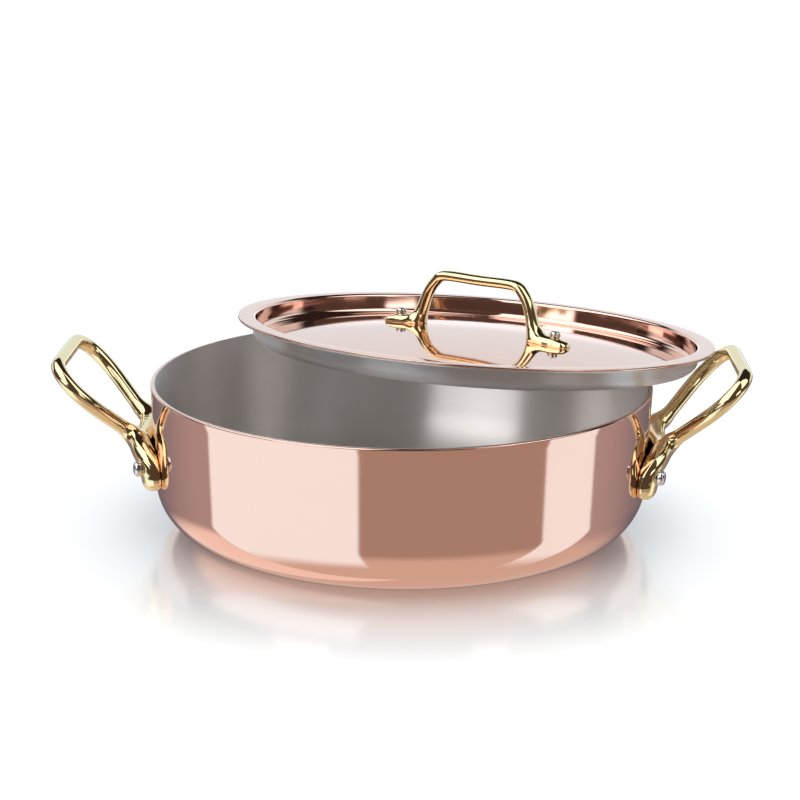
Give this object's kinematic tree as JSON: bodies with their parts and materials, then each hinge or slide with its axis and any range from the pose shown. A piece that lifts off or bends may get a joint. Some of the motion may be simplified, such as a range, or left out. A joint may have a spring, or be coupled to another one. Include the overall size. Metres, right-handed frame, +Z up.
{
  "type": "braising pot",
  "caption": "Low round copper braising pot with two riveted brass loop handles, a steel lining and a dished lid with a brass bow handle lying askew on its rim.",
  "frame": {"origin": "centre of the pot's underside, on the surface that it stands on", "axes": "+Z up out of the pot's mouth, +X from the left to the right side handle, -Y towards the picture's viewer"},
  "size_m": [0.3294, 0.287, 0.1121],
  "materials": {
    "copper": "mirror polished copper",
    "steel": "brushed stainless steel, with the marks running round",
    "brass": "polished cast brass",
    "rivet_steel": "polished stainless steel"
  },
  "bodies": {
    "pot": {"pot_copper_shell": "copper", "pot_steel_lining": "steel", "right_handle": "brass", "right_handle_rivet_front": "rivet_steel", "right_handle_rivet_back": "rivet_steel", "left_handle": "brass", "left_handle_rivet_front": "rivet_steel", "left_handle_rivet_back": "rivet_steel"},
    "lid": {"lid_copper_cover": "copper", "lid_steel_lining": "steel", "lid_handle": "brass", "lid_rivet_left": "rivet_steel", "lid_rivet_right": "rivet_steel"}
  },
  "joints": [
    {"name": "lid_lift", "type": "slide", "parent": "pot", "child": "lid", "axis": [0, 0, 1], "range_m": [0, 0.12]}
  ]
}
